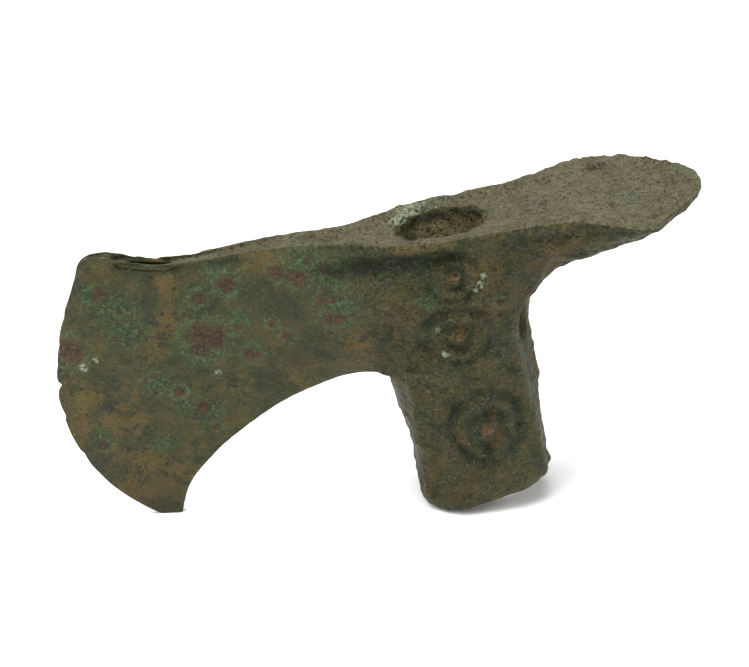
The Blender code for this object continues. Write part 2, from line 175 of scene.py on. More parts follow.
def socket_depth(x):
    """Superellipse: the half width at x is W (1 - |x / L|^n)^(1/n)."""
    share = np.clip(np.abs(x) / SOCKET_HALF_LENGTH, 0, 1)
    return SOCKET_HALF_WIDTH * (1 - share**SOCKET_SQUARENESS) ** (1 / SOCKET_SQUARENESS)


def wall_depth(x, z):
    """The socket's half width, drawn in evenly towards the narrower top of the head."""
    low = mix(ARCH_TOP, ADZE_ROOT_UNDERSIDE, (x + ROOT) / (2 * ROOT))
    top_half = np.interp(x, (-ROOT / 2, 0, ROOT / 2), SOCKET_TOP_HALF[:3])
    return mix(top_half, socket_depth(x), np.clip(1.7 * (HEAD_TOP - z) / (HEAD_TOP - low), 0, 1))


def cutting_edge(t):
    """A circle's arc from the top corner at t = 0 to the lower tip at t = 1, as (x, z). It falls
    back by a share of the shoulder near the top and runs straight to the tip near the bottom."""
    centre = EDGE_RADIUS - EDGE_REACH
    top = math.asin((BLADE_TOP - EDGE_MIDDLE) / EDGE_RADIUS)
    low = math.asin((TIP_HEIGHT - EDGE_MIDDLE) / EDGE_RADIUS)
    angle = mix(top, low, t)
    run_in = -TIP_REACH - (centre - EDGE_RADIUS * math.cos(low))
    pushed = run_in * np.maximum(0, 4 * t - 3) - EDGE_SHOULDER * np.maximum(0, 1 - 4 * t)
    x = centre - EDGE_RADIUS * np.cos(angle) + pushed
    return np.stack((x, EDGE_MIDDLE + EDGE_RADIUS * np.sin(angle)), -1)


def loops(side, top, low, bow=0.0):
    """Closes sections: side is (n, 5, 3) as (x, half width, z) down the front. The back mirrors it,
    and three points join the two over the top and three under, bowed by b (1 - (y / half)^2)
    along x."""
    front = side * (1, -1, 1)
    across = np.array((-0.5, 0.0, 0.5))
    bow = np.reshape(bow, (-1, 1)) * (1 - across**2)

    def strip(place, half, order):
        y = half[:, None] * across * order
        return np.stack((place[:, :1] + bow, y, np.repeat(place[:, 1:], 3, 1)), -1)

    under = strip(low, side[:, -1, 1], 1)
    over = strip(top, side[:, 0, 1], -1)
    return np.concatenate((front, under, side[:, ::-1], over), 1)


def axe_sections():
    """A Coons patch between cutting edge, top line, lower edge and the socket's side, with the
    thickness eased from ridge to lower edge and swelling by sin(pi t) to the belly between them."""
    corner = cutting_edge(np.array(0.0))
    s, t = AXE_TOP_SHARES[:, None], ROWS
    top = np.stack((mix(corner[0], -ROOT, AXE_TOP_SHARES), BLADE_TOP + AXE_TOP_BEND), -1)
    low_x = mix(-TIP_REACH, -ROOT, AXE_LOW_SHARES)
    low = np.stack((low_x, mix(TIP_HEIGHT, ARCH_TOP, AXE_LOW_CLIMB)), -1)
    t2, s2 = t[None, :, None], s[:, :, None]
    edge, root = cutting_edge(t)[None], mix(top[-1], low[-1], t[:, None])[None]
    corners = mix(mix(top[0], low[0], t[:, None])[None], root, s2)
    place = mix(edge, root, s2) + mix(top[:, None], low[:, None], t2) - corners
    straight = mix(AXE_RIDGE_HALF[:, None], AXE_LOWER_HALF[:, None], t)
    half = mix(straight, AXE_BELLY_HALF[:, None], np.sin(np.pi * t))
    half = np.maximum(half, EDGE_THICKNESS / 2)
    return loops(np.stack((place[..., 0], half, place[..., 1]), -1), top, low)


def socket_sections():
    """Straight rows from the head's top to the line where the socket's wall takes over."""
    x = np.array((-ROOT / 2, 0, ROOT / 2))
    low = mix(ARCH_TOP, ADZE_ROOT_UNDERSIDE, (x + ROOT) / (2 * ROOT))
    z = mix(HEAD_TOP, low[:, None], ROWS)
    wide = np.repeat(x[:, None], len(ROWS), 1)
    side = np.stack((wide, wall_depth(wide, z), z), -1)
    top = np.stack((x, np.full_like(x, HEAD_TOP)), -1)
    return loops(side, top, np.stack((x, low), -1))


def adze_sections():
    """A wide top plate over a keel: half width w - (w - l) t^2 down each side, bowed in plan."""
    reach = ADZE_REACH - ADZE_END_BOWS[-1] - ROOT
    x = (ROOT + reach * ADZE_SHARES)[:, None] + 0 * ROWS
    thick = mix(ADZE_END_THICKNESS, HEAD_TOP - ADZE_ROOT_UNDERSIDE, ADZE_THICKNESS_SHARES)[:, None]
    wide = ADZE_HALF_WIDTH * ADZE_WIDTH_SHARES[:, None]
    low = ADZE_HALF_WIDTH * ADZE_LOWER_SHARES[:, None]
    z = (HEAD_TOP - ADZE_TOP_DROPS)[:, None] - thick * ROWS
    side = np.stack((x, wide - (wide - low) * ROWS**2, z), -1)
    aside = np.array((0, ADZE_SKEW, 0)) * ADZE_SHARES[:, None, None]
    return loops(side, side[:, 0][:, ::2], side[:, -1][:, ::2], ADZE_END_BOWS) + aside


def ring(count, half_length, half_width, squareness):
    """Superellipse rings from the front left corner round to +x: half sizes may be one per ring."""
    angle = np.radians(-135) + 2 * np.pi * np.arange(count) / count
    c, s = np.cos(angle), np.sin(angle)
    x = np.sign(c) * np.abs(c) ** (2 / squareness) * np.reshape(half_length, (-1, 1))
    y = np.sign(s) * np.abs(s) ** (2 / squareness) * np.reshape(half_width, (-1, 1))
    return x, y


def socket_rings():
    """Six rings down the socket, sloping from arch to adze root, flat at the foot."""
    share_down = np.array((0, 0.27, 0.54, 0.79))
    left = np.append(mix(ARCH_TOP - ARCH_FILLET, SOCKET_FOOT, share_down), SOCKET_FOOT)
    right = np.append(mix(ADZE_ROOT_UNDERSIDE - ARCH_FILLET, SOCKET_FOOT, share_down), SOCKET_FOOT)
    knee = SOCKET_FOOT + FOOT_ROUNDING
    left, right = (np.insert(side, 4, knee)[:, None] for side in (left, right))
    inset = np.array((0, 0, 0, 0, 0, FOOT_ROUNDING))
    x, y = ring(16, SOCKET_HALF_LENGTH - inset, SOCKET_HALF_WIDTH - inset, SOCKET_SQUARENESS)
    share = 0.5 + x / (2 * SOCKET_HALF_LENGTH)
    z = mix(left, right, share)
    taper = 1 - SOCKET_TAPER * np.maximum(0, 1 - z / ARCH_TOP)
    x, y = x * taper, y * taper
    z = z + FOOT_RISE * share * (1 - z / ARCH_TOP)
    flare = ARCH_FLARE * np.maximum(0, 1 - np.arange(6) / 2)[:, None] * (x < 0)
    return np.stack((x - flare, y, z), -1)


def hole_rings():
    """Five ovals down the shaft hole, wider by the lip at mouth and foot."""
    mouth = HEAD_TOP - HOLE_DISH
    z = np.array((mouth, *mix(mouth, SOCKET_FOOT, np.array((0.06, 0.5, 0.94))), SOCKET_FOOT))
    lip = HOLE_LIP * np.array((1, 0, 0, 0, 1))
    x, y = ring(8, HOLE_HALF_LENGTH + lip, HOLE_HALF_WIDTH + lip, 2)
    z = z[:, None]
    rise = FOOT_RISE * (0.5 + x / (2 * SOCKET_HALF_LENGTH)) * (1 - z / HEAD_TOP)
    return np.stack((x + HOLE_OFFSET, y, z + rise), -1)


def bands(ids):
    """Four-sided faces between neighbouring rows of a grid of point numbers."""
    quads = np.stack((ids[:-1, :-1], ids[:-1, 1:], ids[1:, 1:], ids[1:, :-1]), -1)
    return quads.reshape(-1, 4)


def closed(ids):
    """The same with every row joined round to its own start."""
    return bands(np.concatenate((ids, ids[:, :1]), 1))


def end_rows(points, loop, first):
    """Fills an end section: straight across at each height, with the bow of its top eased to that
    of its bottom. Returns the grid of point numbers and the nine new points."""
    row = np.array((1, 2, 3))
    front, back = points[loop[row]][:, None], points[loop[12 - row]][:, None]
    across = (np.arange(1, ACROSS) / ACROSS)[None, :, None]
    new = mix(front, back, across)
    over, under = points[loop[[15, 14, 13]], 0], points[loop[[5, 6, 7]], 0]
    bow = mix(over - points[loop[0], 0], under - points[loop[4], 0], row[:, None] / ACROSS)
    new = new + np.stack((bow, 0 * bow, 0 * bow), -1)
    inner = first + np.arange(9).reshape(3, 3)
    middle = np.concatenate((loop[row][:, None], inner, loop[12 - row][:, None]), 1)
    rows = np.concatenate((loop[[0, 15, 14, 13, 12]][None], middle, loop[4:9][None]))
    return rows, new.reshape(-1, 3)


def head_cage():
    """Sections become arms, the socket's wall hangs from the loop under the head, and the hole's
    wall runs from the loop on top to the foot. Returns points, faces and the groups of edge
    points."""
    points = np.concatenate((axe_sections(), socket_sections(), adze_sections()))
    count = len(points)
    ids = np.arange(count * 16).reshape(count, 16)
    first, last = AXE_COLUMNS, AXE_COLUMNS + SOCKET_COLUMNS
    around = first + np.array((1, 2, 3, 3, 3, 2, 1, 1))
    mouth = ids[around, [15, 15, 15, 14, 13, 13, 13, 14]]
    points = points.reshape(-1, 3)
    hole = hole_rings()
    points[mouth] = hole[0]

    column, place = np.indices((count - 1, 16))
    under = (column >= first) & (column < last) & (place >= 4) & (place < 8)
    over = (column > first) & (column < first + 3) & (place >= 13) & (place < 15)
    faces = [closed(ids)[~(under | over).ravel()]]

    tip, tip_points = end_rows(points, ids[0], len(points))
    adze, adze_points = end_rows(points, ids[-1], len(points) + 9)
    points = np.concatenate((points, tip_points, adze_points))
    faces += [bands(tip), bands(adze)]

    outer = socket_rings()
    outer_ids = len(points) + np.arange(96).reshape(6, 16)
    inner_ids = len(points) + 96 + np.arange(32).reshape(4, 8)
    points = np.concatenate((points, outer.reshape(-1, 3), hole[1:].reshape(-1, 3)))
    rim = np.concatenate(
        (ids[first:last, 4], ids[last, 4:8], ids[last:first:-1, 8], ids[first, 8:4:-1])
    )
    faces += [closed(np.vstack((rim, outer_ids))), closed(np.vstack((mouth, inner_ids)))]
    foot, bore = outer_ids[-1], inner_ids[-1]
    j = np.arange(8)
    foot_faces = np.stack(
        (foot[2 * j], foot[2 * j + 1], foot[(2 * j + 2) % 16], bore[(j + 1) % 8], bore[j]), -1
    )

    edges = []
    for number, row in enumerate(tip):
        behind = ids[1, [number, 12 - number]]
        if number == 0:
            behind = np.append(behind, ids[1, 13:])
        if number == ACROSS:
            behind = np.append(behind, ids[1, 5:8])
        edges.append((row, behind, (1, 0, 1)))
    for k, row in enumerate(adze.T):
        behind = ids[-2, [(16 - k) % 16, 4 + k]]
        if k == 0:
            behind = ids[-2, :5]
        if k == ACROSS:
            behind = ids[-2, 8:13]
        edges.append((row, behind, (1, 1, 0)))
    return points, np.concatenate(faces), foot_faces, edges


def settle(points, quads, foot_faces, edges, rounds=4):
    """Moves the cage's points until the smooth surface made from it runs through the wanted places.
    Where n faces meet, that surface passes through
    (4 sum of face middles + 2 sum of neighbours + n (n - 1) point) / (n (n + 5))."""
    count = len(points)
    middle = np.zeros((len(quads) + len(foot_faces), count))
    joined = np.zeros((count, count))
    middle[np.arange(len(quads))[:, None], quads] = 1 / 4
    middle[len(quads) + np.arange(len(foot_faces))[:, None], foot_faces] = 1 / 5
    for faces in (quads, foot_faces):
        joined[faces, np.roll(faces, 1, 1)] = 1
        joined[np.roll(faces, 1, 1), faces] = 1
    touching = (middle.T > 0).astype(float)
    n = np.maximum(joined.sum(1), 3)[:, None]
    wanted = points.copy()
    for _ in range(rounds):
        sums = 4 * touching @ (middle @ points) + 2 * joined @ points
        moved = points + wanted - (sums + n * (n - 1) * points) / (n * (n + 5))
        drawn = points + wanted - moved
        for end, behind, freedom in edges:
            together = np.append(end, behind)
            moved[together] = points[together] + (wanted[end] - drawn[end]).mean(0) * freedom
        points = moved
    return points


def smooth_skin():
    """The casting's smooth surface: the settled cage under four rounds of subdivision."""
    points, quads, foot_faces, edges = head_cage()
    points = settle(points, quads, foot_faces, edges)
    used = np.unique(quads)
    renumber = np.zeros(len(points), int)
    renumber[used] = np.arange(len(used))
    mesh = bpy.data.meshes.new("axe_adze_cage")
    faces = renumber[quads].tolist() + renumber[foot_faces].tolist()
    mesh.from_pydata(points[used].tolist(), [], faces)
    turned = bmesh.new()
    turned.from_mesh(mesh)
    bmesh.ops.recalc_face_normals(turned, faces=turned.faces)
    turned.to_mesh(mesh)
    turned.free()
    cage = bpy.data.objects.new("axe_adze_cage", mesh)
    bpy.context.scene.collection.objects.link(cage)
    rounder = cage.modifiers.new("smooth_form", "SUBSURF")
    rounder.levels = rounder.render_levels = 4
    drawn = cage.evaluated_get(bpy.context.evaluated_depsgraph_get())
    skin = bpy.data.meshes.new_from_object(drawn)
    bpy.data.objects.remove(cage)
    return skin


# Relief of the surface, as heights along its normals


def lumps(points, size, seed):
    """Value noise from -1 to 1: random numbers on a lattice of that size, blended by s-curves."""
    table = np.random.default_rng(seed).uniform(-1, 1, (32, 32, 32))
    scaled = points / size + 100
    cell = np.floor(scaled).astype(int)
    t = scaled - cell
    t = t * t * (3 - 2 * t)
    total = 0
    for corner in np.ndindex(2, 2, 2):
        at = (cell + corner) % 32
        weight = np.prod(np.where(corner, t, 1 - t), axis=1)
        total = total + weight * table[at[:, 0], at[:, 1], at[:, 2]]
    return total


def rough(points, size, seed, octaves=3):
    """Noise summed over octaves, each of half the size and 0.55 of the height of the last."""
    return sum(0.55**k * lumps(points, size / 2**k, seed + k) for k in range(octaves))


def bell(away, width):
    """1 at no distance, falling off as exp(-(away / width)^2)."""
    return np.exp(-((away / width) ** 2))


def spots(points, table):
    """1 at the middle of the nearest round spot, 0 one and a half radii away, below 0 beyond, seen
    straight from the side. table rows are x, z and radius in millimetres."""
    far = np.full(len(points), 9.0)
    for x, z, radius in np.array(table) / 1000:
        away = np.hypot(points[:, 0] - x, points[:, 2] - z) / radius
        far = np.minimum(far, away)
    return np.clip(1 - far / 1.5, -1, 1)


# Patches of the front face as x, z and radius in millimetres
RED_SPOTS = (
    (-105.0, 100.2, 2.3), (-77.0, 92.8, 2.1), (-67.9, 95.9, 2.7), (-78.0, 79.6, 4.6),
    (-74.8, 78.6, 3.6), (-79.6, 75.8, 3.0), (-88.8, 61.9, 1.9), (-83.1, 54.3, 2.1),
    (-80.6, 46.0, 1.5), (-86.0, 50.5, 1.2), (-64.8, 71.0, 2.3), (-67.3, 82.1, 1.4),
    (-115.8, 46.7, 1.7), (-118.6, 82.2, 4.2), (-95.1, 68.9, 1.0), (-98.5, 67.4, 1.1),
    (-96.0, 63.1, 1.0), (-46.4, 94.2, 2.4), (-48.6, 95.6, 1.6), (-39.8, 80.8, 2.0),
    (-36.6, 80.3, 1.9), (-41.4, 87.2, 1.4), (-37.4, 86.3, 1.1), (-53.0, 75.9, 1.7),
    (-52.3, 97.6, 2.2), (-22.0, 93.9, 1.5), (-14.9, 92.9, 1.3), (-31.8, 80.5, 1.2),
    (-38.2, 96.0, 1.6), (-34.2, 93.9, 1.7), (-43.3, 99.2, 1.2), (-40.4, 75.5, 1.0),
    (-100.6, 93.0, 1.2), (-11.1, 26.2, 1.3), (11.2, 77.0, 1.3), (13.0, 55.9, 1.3),
    (-104.0, 84.0, 1.0), (-60.0, 60.0, 1.1), (-70.0, 52.5, 1.0), (-57.0, 81.5, 1.6),
)
GREEN_PATCHES = (
    (-102.7, 94.1, 7.6), (-100.4, 86.6, 6.5), (-67.7, 96.9, 5.6), (-77.0, 92.5, 4.6),
    (-94.3, 65.4, 4.8), (-81.2, 52.7, 4.4), (-98.1, 42.8, 4.2), (-115.9, 49.5, 3.6),
    (-63.6, 72.7, 4.0), (-78.3, 77.2, 8.0), (-45.0, 99.4, 6.0), (-35.6, 94.1, 5.6),
    (-34.7, 82.9, 5.0), (-10.4, 95.4, 3.4), (9.1, 21.1, 1.9), (-66.5, 84.7, 3.6),
    (-71.1, 100.7, 3.6), (-9.4, 82.8, 3.6), (-108.0, 100.0, 4.0), (-88.0, 56.0, 3.4),
)
OCHRE_PATCHES = (
    (-117.8, 64.4, 6.0), (-109.0, 55.1, 7.0), (-120.3, 53.4, 4.6), (-111.8, 27.8, 8.0),
    (-88.0, 87.7, 5.6), (-94.2, 80.1, 4.4), (-95.8, 100.0, 4.0), (-71.5, 63.3, 4.2),
    (-51.5, 62.2, 5.0), (-32.2, 69.4, 3.6), (-12.0, 99.1, 7.0), (31.2, 92.5, 6.4),
    (6.7, 89.4, 4.0), (1.4, 4.2, 3.6), (3.2, 13.8, 3.2), (-94.9, 31.8, 6.4),
    (-55.0, 101.7, 6.0), (-104.0, 38.0, 6.0), (-86.0, 98.0, 5.0), (-74.0, 70.0, 3.2),
)
TEAL_PATCHES = (
    (-57.2, 91.0, 6.4), (-52.0, 87.0, 6.4), (-50.9, 66.3, 5.0), (-30.5, 97.3, 6.0),
    (-20.5, 96.0, 5.6), (-10.6, 94.0, 4.4), (-95.0, 104.7, 3.4), (-92.4, 95.5, 4.4),
    (-82.8, 68.7, 3.6), (-101.2, 18.9, 3.0), (-8.4, 89.2, 3.0), (-45.0, 72.0, 6.0),
    (-112.0, 36.0, 5.0), (-93.0, 88.0, 3.2), (-112.0, 70.5, 3.6), (-86.5, 66.0, 2.6),
    (-62.0, 92.0, 4.0), (-99.0, 57.0, 2.6),
)
PALE_PATCHES = (
    (-115.7, 75.8, 1.3), (-111.7, 77.3, 1.0), (-75.8, 66.5, 1.0), (-8.6, 72.5, 0.9),
    (-7.7, 63.4, 0.9), (-14.2, 50.0, 0.9), (-14.3, 44.3, 0.9), (7.4, 87.2, 1.1),
    (6.2, 84.8, 1.1), (4.6, 83.6, 0.8),
)
COPPER_BOSSES = ((1.6, 33.8, 2.1), (-1.9, 69.4, 1.8), (-1.6, 88.8, 1.6))

# Patches of the top as a mask, then x, y and radius in metres
TOP_PATCHES = (
    ("pale", -0.0100, 0.0100, 0.0050),
    ("green", -0.0030, 0.0118, 0.0036),
    ("green", 0.0774, 0.0076, 0.0034),
    ("green", 0.0560, -0.0040, 0.0030),
    ("ochre", 0.0450, 0.0060, 0.0060),
    ("ochre", 0.0640, -0.0120, 0.0050),
    ("red", 0.0360, 0.0020, 0.0012),
)

# Chips out of the cutting edge as height, depth and half width in millimetres
EDGE_CHIPS = (
    (70.4, 1.6, 1.3), (60.0, 0.6, 1.2), (44.0, 0.4, 1.2), (84.0, 0.3, 1.6), (93.0, 0.4, 1.5),
)


def back_spots(seed, count, least, most):
    """Seeded spots for the unseen side of the axe arm, as x, z and radius in millimetres."""
    draw = np.random.default_rng(seed)
    x, z = draw.uniform(-118, -25, count), draw.uniform(48, 102, count)
    return np.stack((x, z, draw.uniform(least, most, count)), -1)


def ring_relief(points, facing):
    """Each ornament's profile over the oval distance from its middle, in metres. Noise makes the
    distance wobble and wears the height, but for the boss."""
    height = np.zeros(len(points))
    for x, z, half_width, half_height in RINGS:
        oval = np.hypot((points[:, 0] - x) / half_width, (points[:, 2] - z) / half_height)
        wobble = oval + 0.05 * rough(points, 0.007, 61, 2)
        worn = 0.80 + 0.45 * rough(points, 0.005, 67, 2)
        profile = np.interp(wobble / RINGS_WORN_TO, RING_PROFILE[:, 0], RING_PROFILE[:, 1]) / 1000
        height += profile * np.where(oval < 0.27, 1.0, worn) * facing
    return height


def back_ring_relief(points, facing):
    """A plain groove, exp(-(d / w)^2), along the two larger ovals."""
    height = np.zeros(len(points))
    for x, z, half_width, half_height in RINGS[:2]:
        oval = np.hypot((points[:, 0] - x) / half_width, (points[:, 2] - z) / half_height)
        away = (oval - 1) * half_width
        height -= BACK_GROOVE_DEPTH * bell(away, BACK_GROOVE_WIDTH) * facing
    return height


def blade_ridge(x, z):
    """The lobe at the blade's top corner, with a fold under it and a fainter one along the ridge:
    bell curves of the height over sloping lines, ended by S-shaped rises."""
    lobe = bell(x + 0.106, 0.006) * bell(z - 0.1085, 0.003)
    fold = bell(z - 0.1071 + 0.28 * (x + 0.0949), 0.0009)
    fold = fold * smooth(x, -0.1005, -0.0975) * smooth(-x, 0.078, 0.086)
    line = bell(z - 0.1046 + 0.06 * (x + 0.1), 0.0012)
    line = line * smooth(x, -0.088, -0.080) * smooth(-x, 0.050, 0.070)
    return LOBE_HEIGHT * lobe - LOBE_FOLD_DEPTH * fold - RIDGE_FOLD_DEPTH * line


def socket_arris(x, y, z):
    """The socket's worn corners: bell curves of the distance along x from two upright lines."""
    corner = np.where(x < 0, -0.0190, 0.0194 - 0.09 * z)
    ends = smooth(-z, -0.076, -0.052) * smooth(z, 0.002, 0.008)
    return ARRIS_HEIGHT * bell(x - corner, 0.0016) * ends * smooth(np.abs(y), 0.006, 0.010)


def weather(skin):
    """Adds the corroded relief to the smooth skin and writes the masks that the patina reads. Each
    form is a bell curve or an S-shaped rise of the distance from a line or a point, times octaves
    of noise where it is rough. Every point moves along its normal by the sum of the heights, and
    the cutting edges are then bitten into along x and the adze's sides along y."""
    count = len(skin.vertices)
    points, normals = np.empty(count * 3), np.empty(count * 3)
    skin.vertices.foreach_get("co", points)
    skin.vertex_normals.foreach_get("vector", normals)
    points, normals = points.reshape(-1, 3), normals.reshape(-1, 3)
    x, y, z = points.T

    front = smooth(-normals[:, 1], 0.15, 0.55)
    back = smooth(normals[:, 1], 0.15, 0.55)
    upward = smooth(normals[:, 2], 0.55, 0.9)
    in_plan = np.hypot((x - HOLE_OFFSET) / HOLE_HALF_LENGTH, y / HOLE_HALF_WIDTH)
    bore = smooth(1.16 - in_plan, 0, 0.1) * smooth(HEAD_TOP - z, -0.001, 0.001)
    deep = bore * smooth(HEAD_TOP - HOLE_DISH - z, 0.0005, 0.0045)
    edge_x = np.interp(z, cutting_edge(ROWS)[::-1, 1], cutting_edge(ROWS)[::-1, 0])
    on_edge = bell(np.clip(x - edge_x, 0, None), 0.0035) * (x < -0.06)
    on_adze = smooth(x, 0.030, 0.045)
    thin = np.maximum(on_edge, smooth(x, ADZE_REACH - 0.006, ADZE_REACH - 0.001))

    broad = rough(points, 0.016, 11, 3)
    fine = rough(points, 0.0050, 23, 3)
    grain = rough(points, 0.0024, 37, 2)
    socket = smooth(x, -0.034, -0.020) * smooth(-z, -0.106, -0.094)
    rings = ring_relief(points, front) + back_ring_relief(points, back)
    beside_mouth = smooth(x, -0.046, -0.028) * smooth(-x, -0.006, 0.006) * (front + back)
    groove = -MOUTH_GROOVE_DEPTH * bell(z - 0.0948, 0.0026) * beside_mouth
    bead = MOUTH_BEAD_HEIGHT * bell(z - 0.0988, 0.0022) * beside_mouth
    ridge = blade_ridge(x, z)
    pocked = np.clip(rough(points, 0.0050, 71, 2) - 0.42, 0, None)
    roughness = 0.5 + 1.2 * upward + 1.5 * socket + 0.5 * np.abs(rings) / 0.0011
    rim = bell(in_plan - 1.12, 0.16) * smooth(z, 0.092, 0.096)
    height = (
        BROAD_LUMPS * broad * (1 - 0.7 * thin)
        + FINE_LUMPS * fine * roughness * (1 - 0.5 * thin)
        + GRAIN_LUMPS * grain * roughness * (1 - 0.5 * thin)
        - POCK_DEPTH * pocked * upward * (1 - 0.8 * thin)
        + RIM_LUMPS * fine * rim
        + rings
        + socket_arris(x, y, z) * (1 - upward) * (1 - bore)
        + groove
        + bead
        + ridge * (front + back)
    )
    height = mix(height, HOLE_LUMPS * fine + HOLE_GRAIN * grain, bore)

    # The socket's wall under the adze: slit, seam rib and nodule
    adze_wall = (x > 0.012) * smooth(normals[:, 0], 0.05, 0.30)
    from_slit = np.hypot((y + 0.0116) / 0.0014, (z - 0.0660) / 0.0056)
    slit = smooth(1.3 - from_slit, 0, 0.8) * adze_wall
    rib = bell(y + 0.0075, 0.0016) * smooth(z, 0.030, 0.042) * smooth(-z, -0.078, -0.070)
    rib = rib * (x > 0.015) * smooth(normals[:, 0], 0.3, 0.7)
    nodule = bell(np.hypot(y + 0.0038, z - 0.0092), 0.0021) * (x > 0.015)
    nodule = nodule * smooth(normals[:, 0], 0.2, 0.6)
    height += RIB_HEIGHT * rib + NODULE_HEIGHT * nodule - SLIT_DEPTH * slit
    moved = points + normals * height[:, None]

    # Chips and nibbles out of the two cutting edges and the adze's sides
    chips = EDGE_NIBBLES * np.clip(rough(points, 0.0052, 91, 3), -0.4, 1)
    for level, depth, width in np.array(EDGE_CHIPS) / 1000:
        chips = chips + depth * bell(z - level, width)
    moved[:, 0] += chips * on_edge
    nibbled = ADZE_NIBBLES * np.clip(rough(points, 0.0060, 97, 3), -0.3, 1)
    moved[:, 0] -= nibbled * smooth(x, ADZE_REACH - 0.010, ADZE_REACH - 0.002)
    ragged = ADZE_RAGGED * np.clip(rough(points, 0.0055, 99, 3), -0.3, 1)
    moved[:, 1] -= np.sign(y) * ragged * smooth(np.abs(y), 0.014, 0.020) * on_adze

    end_on = (1 - front) * (1 - back)
    along_crevice = smooth(z, 0.020, 0.030) * smooth(-z, -0.072, -0.068)
    masks = {
        "red": mix(spots(points, RED_SPOTS), spots(points, back_spots(5, 26, 1.0, 3.4)), back),
        "green": mix(spots(points, GREEN_PATCHES), spots(points, back_spots(8, 14, 3, 7)), back),
        "ochre": mix(spots(points, OCHRE_PATCHES), spots(points, back_spots(9, 14, 3, 7)), back),
        "teal": mix(spots(points, TEAL_PATCHES), spots(points, back_spots(12, 12, 3, 7)), back),
        "pale": spots(points, PALE_PATCHES) * front - (1 - front),
        # Hollows: patina in the rings' grooves, painted shade in the mouth groove, ridge fold and
        # slit
        "hollow": np.clip(-(rings + groove + ridge * front) / 0.0009 + 0.6 * slit, 0, 1),
        "proud": np.clip(rings / 0.0006, 0, 1) + 0.4 * thin,
        "upward": upward * (1 - bore),
        "bore": deep,
        "copper": spots(points, COPPER_BOSSES) * front,
        "edge": on_edge,
        "coarse": np.clip(0.58 + socket + upward + bore + end_on, 0, 1),
        # A thin line of painted shade down the slit under the adze: across it, then along it
        "crack_side": (y + 0.0118 + 0.0009 * lumps(points, 0.006, 83)) / 0.0007,
        "crack": adze_wall * (0.45 * along_crevice + slit),
    }
    for name in ("red", "green", "ochre", "teal"):
        masks[name] = mix(masks[name], -1.0, end_on)
    for name, at_x, at_y, radius in TOP_PATCHES:
        at = np.hypot(x - at_x, (y - at_y) * 0.7) / radius
        masks[name] = np.maximum(masks[name], mix(-1, 1 - at / 1.5, upward))
    for name, values in masks.items():
        made = skin.attributes.new(name, "FLOAT", "POINT")
        made.data.foreach_set("value", np.asarray(values, np.float32))
    return moved


def onto_the_ground(points, low, high):
    """Leans the tool back by turning it about y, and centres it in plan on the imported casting's
    box. Nothing passes the box's sides or the ground."""
    x = points[:, 0] * math.cos(LEAN) - points[:, 2] * math.sin(LEAN)
    z = points[:, 0] * math.sin(LEAN) + points[:, 2] * math.cos(LEAN)
    turned = np.stack((x, points[:, 1], z), -1)
    off = (low + high - turned.min(0) - turned.max(0)) / 2
    return np.clip(turned + off * (1, 1, 0), low, high)


def bronze_skin():
    """The finished skin, in place of the casting's node."""
    low, high = (np.array(corner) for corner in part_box(NODE))
    skin = smooth_skin()
    points = onto_the_ground(weather(skin), low, high)
    skin.vertices.foreach_set("co", points.ravel())
    skin.update()
    skin.shade_smooth()
    skin.name = "bronze_skin"
    head = bpy.data.objects.new("bronze_skin", skin)
    bpy.context.scene.collection.objects.link(head)
    skin.materials.clear()
    skin.materials.append(patina())
    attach(head, "root")
    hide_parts(NODE)
    return head


# Patina


class Value:
    """A socket in a material. Sums and products of values add Math nodes."""

    def __init__(self, tree, socket=None):
        self.tree = tree
        self.socket = socket

    def node(self, kind, settings=(), inputs=(), output=0):
        """Any node: its settings come first, then the values or links of its sockets."""
        made = self.tree.nodes.new(kind)
        for name, setting in dict(settings).items():
            if name == "stops":
                while len(made.color_ramp.elements) < len(setting):
                    made.color_ramp.elements.new(1)
                for element, (place, colour) in zip(made.color_ramp.elements, setting):
                    element.position = place
                    element.color = (*colour, 1)
            else:
                setattr(made, name, setting)
        by_name = {key: s for s in reversed(made.inputs) for key in (s.name, s.identifier)}
        for key, value in dict(inputs).items():
            socket = made.inputs[key] if isinstance(key, int) else by_name[key]
            if isinstance(value, Value):
                self.tree.links.new(value.socket, socket)
            else:
                socket.default_value = value
        found = [s for s in made.outputs if output in (s.name, s.identifier)]
        return Value(self.tree, found[0] if found else made.outputs[output])

    def maths(self, operation, other, turned=False):
        pair = (other, self) if turned else (self, other)
        return self.node("ShaderNodeMath", {"operation": operation}, {0: pair[0], 1: pair[1]})

    def __add__(self, other):
        return self.maths("ADD", other)

    def __sub__(self, other):
        return self.maths("SUBTRACT", other)

    def __rsub__(self, other):
        return self.maths("SUBTRACT", other, True)

    def __mul__(self, other):
        return self.maths("MULTIPLY", other)

    __radd__ = __add__
    __rmul__ = __mul__

    def between(self, low, high):
        """0 below low, 1 above high, smooth between them."""
        inputs = {"Value": self, "From Min": low, "From Max": high}
        settings = {"interpolation_type": "SMOOTHSTEP"}
        return self.node("ShaderNodeMapRange", settings, inputs, "Result")

    def blend(self, colour, share):
        """This colour laid over by another, by share."""
        inputs = {"Factor_Float": share, "A_Color": self, "B_Color": colour}
        return self.node("ShaderNodeMix", {"data_type": "RGBA"}, inputs, "Result_Color")


def tone(red, green, blue):
    """An opaque colour in linear light."""
    return (red, green, blue, 1)


